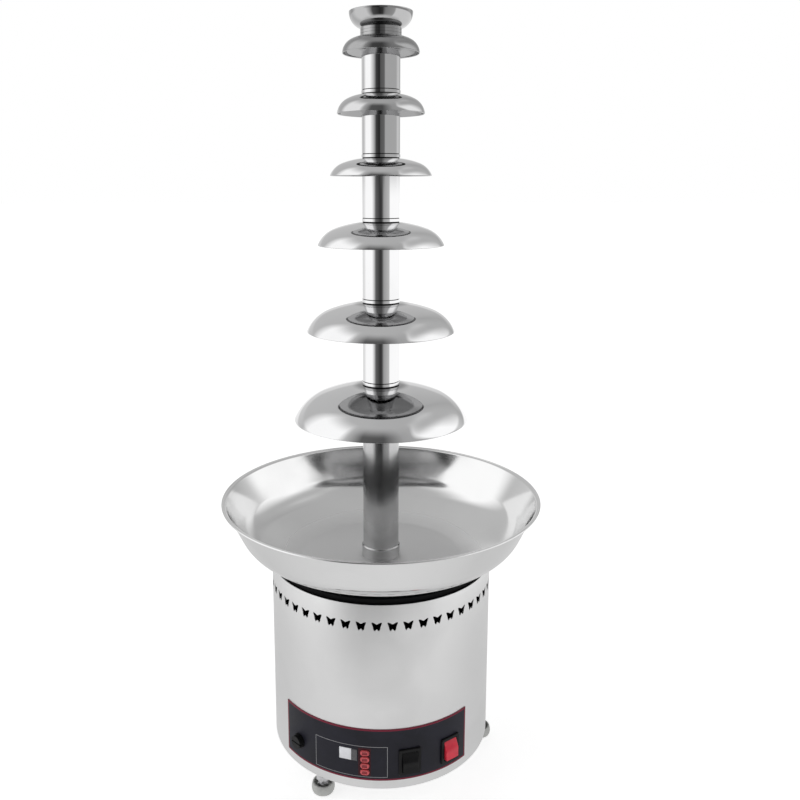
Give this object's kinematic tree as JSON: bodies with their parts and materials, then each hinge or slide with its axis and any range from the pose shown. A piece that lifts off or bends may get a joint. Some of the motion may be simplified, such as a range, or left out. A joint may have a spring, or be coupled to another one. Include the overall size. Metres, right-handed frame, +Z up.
{
  "type": "chocolate fountain",
  "caption": "Tiered chocolate fountain: polished dome caps on a tube over a heated steel bowl, on a vented cylindrical base with control panel and levelling feet.",
  "frame": {"origin": "on the floor, under the tower's axis", "axes": "+Z up along the tower's axis, -Y towards the side with the control panel"},
  "size_m": [0.4493, 0.4492, 1.03],
  "materials": {
    "polished_steel": "mirror polished",
    "bowl_steel": "satin polished",
    "shell_steel": "satin brushed",
    "auger_steel": "satin",
    "fastener_steel": "zinc plated",
    "foot_metal": "grey",
    "seat_black": "matte black moulding",
    "panel_black": "black film with a dark red border",
    "switch_black": "black moulding",
    "rocker_red": "red translucent moulding",
    "button_red": "red keys",
    "display_face": "light window with a dark right part",
    "bush_polymer": "bearing plastic",
    "seal_silicone": "food silicone",
    "heater_sheath": "dark oxide",
    "probe_brass": "turned",
    "gearbox_alloy": "cast",
    "motor_paint": "black enamel",
    "controller_green": "circuit board block",
    "terminal_white": "white moulding"
  },
  "bodies": {
    "base": {"bowl": "bowl_steel", "locating_pins": "bowl_steel", "bowl_bush": "bush_polymer", "bush_nut": "fastener_steel", "shaft_seal": "seal_silicone", "bowl_bolts": "fastener_steel", "heater_element": "heater_sheath", "heater_clamp": "fastener_steel", "heater_screws": "fastener_steel", "temperature_probe": "probe_brass", "shell": "shell_steel", "seat_ring": "seat_black", "deck": "shell_steel", "base_plate": "shell_steel", "base_screws": "fastener_steel", "gearbox": "gearbox_alloy", "motor_can": "motor_paint", "motor_screws": "fastener_steel", "control_panel": "panel_black", "controller_box": "controller_green", "display": "display_face", "power_switch_housing": "switch_black", "motor_switch_housing": "switch_black", "fuse_holder": "switch_black", "terminal_block": "terminal_white", "cable_gland": "switch_black", "gland_nut": "switch_black", "foot_nuts": "fastener_steel"},
    "tower": {"cap_1": "polished_steel", "cap_2": "polished_steel", "cap_3": "polished_steel", "cap_4": "polished_steel", "cap_5": "polished_steel", "cap_6": "polished_steel", "tube_1": "polished_steel", "tube_2": "polished_steel", "tube_3": "polished_steel", "tube_4": "polished_steel", "tube_5": "polished_steel", "tube_6": "polished_steel"},
    "crown": {"crown": "polished_steel"},
    "drive": {"auger_core": "auger_steel", "auger_flight": "auger_steel", "drive_shaft": "fastener_steel", "drive_pin": "fastener_steel"},
    "power_rocker": {"power_rocker": "rocker_red"},
    "motor_rocker": {"motor_rocker": "switch_black"},
    "fuse_cap": {"fuse_cap": "switch_black"},
    "button_1": {"button_1": "button_red"},
    "button_2": {"button_2": "button_red"},
    "button_3": {"button_3": "button_red"},
    "button_4": {"button_4": "button_red"},
    "foot_1": {"foot_1_cup": "foot_metal", "foot_1_stud": "fastener_steel"},
    "foot_2": {"foot_2_cup": "foot_metal", "foot_2_stud": "fastener_steel"},
    "foot_3": {"foot_3_cup": "foot_metal", "foot_3_stud": "fastener_steel"}
  },
  "joints": [
    {"name": "tower_lift", "type": "slide", "parent": "base", "child": "tower", "axis": [0, 0, 1], "range_m": [0, 0.725]},
    {"name": "crown_lift", "type": "slide", "parent": "tower", "child": "crown", "axis": [0, 0, 1], "range_m": [0, 0.04]},
    {"name": "auger_spin", "type": "hinge", "parent": "base", "child": "drive", "pos_m": [0, 0, 0.3], "axis": [0, 0, 1], "continuous": true},
    {"name": "power_rocker_tilt", "type": "hinge", "parent": "base", "child": "power_rocker", "pos_m": [0.10124, -0.12065, 0.0635], "axis": [0.766, 0.6428, 0], "range_deg": [0, 24]},
    {"name": "motor_rocker_tilt", "type": "hinge", "parent": "base", "child": "motor_rocker", "pos_m": [0.04867, -0.14979, 0.0635], "axis": [0.9511, 0.309, 0], "range_deg": [0, 24]},
    {"name": "button_1_press", "type": "slide", "parent": "base", "child": "button_1", "axis": [0.0657, 0.9978, 0], "range_m": [0, 0.001], "stiffness_N_per_m": 400},
    {"name": "button_2_press", "type": "slide", "parent": "base", "child": "button_2", "axis": [0.0657, 0.9978, 0], "range_m": [0, 0.001], "stiffness_N_per_m": 400},
    {"name": "button_3_press", "type": "slide", "parent": "base", "child": "button_3", "axis": [0.0657, 0.9978, 0], "range_m": [0, 0.001], "stiffness_N_per_m": 400},
    {"name": "button_4_press", "type": "slide", "parent": "base", "child": "button_4", "axis": [0.0657, 0.9978, 0], "range_m": [0, 0.001], "stiffness_N_per_m": 400},
    {"name": "fuse_cap_turn", "type": "hinge", "parent": "base", "child": "fuse_cap", "pos_m": [-0.10294, -0.11841, 0.0635], "axis": [-0.6561, -0.7547, 0], "range_deg": [0, 90]},
    {"name": "foot_1_level", "type": "slide", "parent": "base", "child": "foot_1", "axis": [0, 0, -1], "range_m": [0, 0.008]},
    {"name": "foot_2_level", "type": "slide", "parent": "base", "child": "foot_2", "axis": [0, 0, -1], "range_m": [0, 0.008]},
    {"name": "foot_3_level", "type": "slide", "parent": "base", "child": "foot_3", "axis": [0, 0, -1], "range_m": [0, 0.008]}
  ]
}
